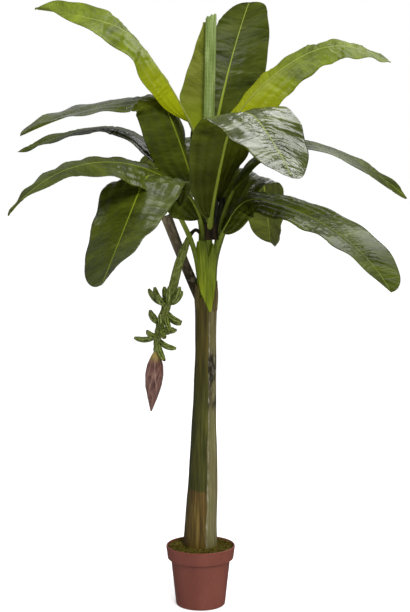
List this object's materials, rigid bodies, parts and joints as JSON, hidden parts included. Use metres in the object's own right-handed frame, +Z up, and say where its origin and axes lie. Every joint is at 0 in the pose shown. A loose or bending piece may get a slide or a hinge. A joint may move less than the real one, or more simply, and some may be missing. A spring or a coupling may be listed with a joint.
{
  "type": "artificial banana plant",
  "caption": "Tall potted artificial banana plant with arching leaves, a hanging fruit bunch and a flower bud, in a round tapered pot.",
  "frame": {"origin": "centre of the pot's flat underside, on the floor", "axes": "+Z up along the trunk; the plant's front, with the leaf that folds over toward the viewer, faces -Y; the fruit bunch hangs on the -X side"},
  "size_m": [1.3849, 1.182, 2.1535],
  "materials": {
    "terracotta": "satin moulded plastic, terracotta coloured",
    "cement": "rough cast filling",
    "moss": "dried moss",
    "trunk_sheath": "moulded and painted trunk, satin",
    "core_brown": "brown moulded core",
    "sheath_green": "yellow-green moulded sheath",
    "dry_brown": "dull brown dry stalk",
    "fruit_green": "green moulded fruit",
    "bud_purple": "purple-brown moulded bud",
    "leaf_green": "printed coated cloth, satin to glossy",
    "young_green": "paler yellow-green coated cloth"
  },
  "bodies": {
    "root": {"pot": "terracotta", "pot_filling": "cement", "moss": "moss", "trunk": "trunk_sheath", "crown_core": "core_brown", "crown_sheath": "sheath_green", "old_leaf_stalk": "dry_brown", "fruit_stalk": "fruit_green", "fruit_bunch": "fruit_green", "flower_bud": "bud_purple", "leaf_young_roll": "young_green", "leaf_young_flap": "young_green", "leaf_front_inner": "leaf_green", "leaf_front_outer": "leaf_green", "leaf_front_left_inner": "leaf_green", "leaf_front_left_outer": "leaf_green", "leaf_low_right_inner": "leaf_green", "leaf_low_right_outer": "leaf_green", "leaf_low_left_inner": "leaf_green", "leaf_low_left_outer": "leaf_green", "leaf_mid_left_inner": "leaf_green", "leaf_mid_left_outer": "leaf_green", "leaf_upper_left_inner": "young_green", "leaf_upper_left_outer": "young_green", "leaf_upper_right_inner": "young_green", "leaf_upper_right_outer": "young_green", "leaf_top_inner": "leaf_green", "leaf_back_right_inner": "leaf_green", "leaf_back_right_outer": "leaf_green", "leaf_right_inner": "leaf_green", "leaf_right_outer": "leaf_green", "leaf_left_inner": "leaf_green", "leaf_left_outer": "leaf_green", "leaf_back_inner": "leaf_green", "leaf_back_outer": "leaf_green", "leaf_back_left_inner": "leaf_green", "leaf_back_left_outer": "leaf_green"}
  },
  "joints": []
}
